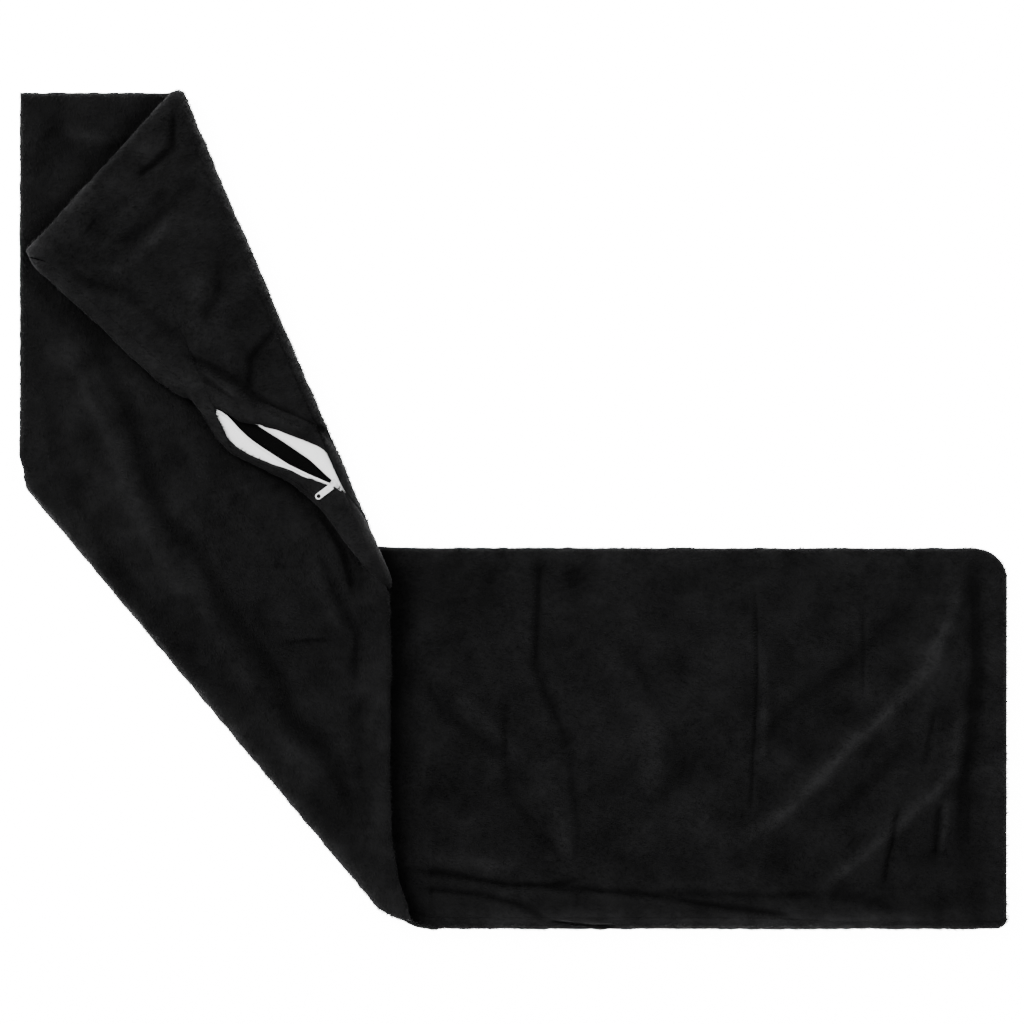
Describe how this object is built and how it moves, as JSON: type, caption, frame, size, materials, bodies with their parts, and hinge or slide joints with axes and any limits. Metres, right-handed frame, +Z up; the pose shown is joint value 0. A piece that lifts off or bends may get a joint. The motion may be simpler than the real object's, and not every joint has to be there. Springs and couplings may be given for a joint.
{
  "type": "body pillow cover",
  "caption": "Black short-pile plush cover for a long body pillow, laid folded, with a white nylon coil zip partly open along one long side.",
  "frame": {"origin": "under the middle of the laid-out cover, on the floor", "axes": "+Z up from the floor, +X along the open leg towards its free end, +Y towards the end with the turned-down corner"},
  "size_m": [1.0315, 0.8766, 0.0355],
  "materials": {
    "black_plush": "matt pile",
    "white_tape": "matt",
    "white_coil": "satin",
    "white_slider": "satin",
    "black_thread": "matt"
  },
  "bodies": {
    "cover": {"plush_panel_front": "black_plush", "plush_panel_back": "black_plush", "zip_tape_front": "white_tape", "zip_tape_back": "white_tape", "zip_coil_front": "white_coil", "zip_coil_back": "white_coil", "bartack_open_end": "black_thread", "bartack_closed_end": "black_thread", "seam_thread_long": "black_thread", "seam_thread_flap_end": "black_thread", "seam_thread_open_end": "black_thread", "seam_thread_zip_side": "black_thread", "zip_stitch_front": "black_thread", "zip_stitch_back": "black_thread"},
    "slider": {"slider_body": "white_slider"},
    "tab": {"pull_tab": "white_slider"}
  },
  "joints": [
    {"name": "zip_slide", "type": "slide", "parent": "cover", "child": "slider", "axis": [-0.8368, 0.5476, 0], "range_m": [0, 0.125], "deforming": ["zip_tape_front", "zip_tape_back", "zip_coil_front", "zip_coil_back", "bartack_open_end", "zip_stitch_front", "zip_stitch_back"]},
    {"name": "pull_tab_hinge", "type": "hinge", "parent": "slider", "child": "tab", "pos_m": [-0.1841, 0.0289, 0.0254], "axis": [-0.6004, 0.7997, 0], "range_deg": [0, 165]}
  ]
}
